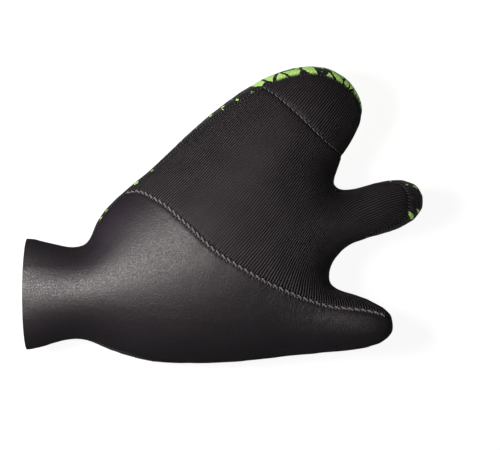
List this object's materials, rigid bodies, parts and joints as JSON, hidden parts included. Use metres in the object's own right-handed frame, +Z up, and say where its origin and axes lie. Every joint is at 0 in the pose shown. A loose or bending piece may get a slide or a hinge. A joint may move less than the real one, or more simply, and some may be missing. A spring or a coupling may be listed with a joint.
{
  "type": "diving mitt",
  "caption": "Diving mitt of thick foam rubber with its own index finger and thumb, a wide pocket for the other fingers, a ribbed palm and an open cuff.",
  "frame": {"origin": "middle of the mitt's box, on the surface that it lies on", "axes": "+X from the cuff's mouth to the index fingertip, +Y towards the little finger, +Z up out of the palm"},
  "size_m": [0.2996, 0.2242, 0.081],
  "materials": {
    "ribbed_fabric": "matt ribbed grip fabric",
    "smooth_neoprene": "satin smooth skin",
    "printed_fabric": "matt knit, black with lime flecks"
  },
  "bodies": {
    "root": {"grip_panel": "ribbed_fabric", "fingertip_panel": "ribbed_fabric", "wrist_thumb_panel": "smooth_neoprene", "back_panel": "printed_fabric"}
  },
  "joints": []
}
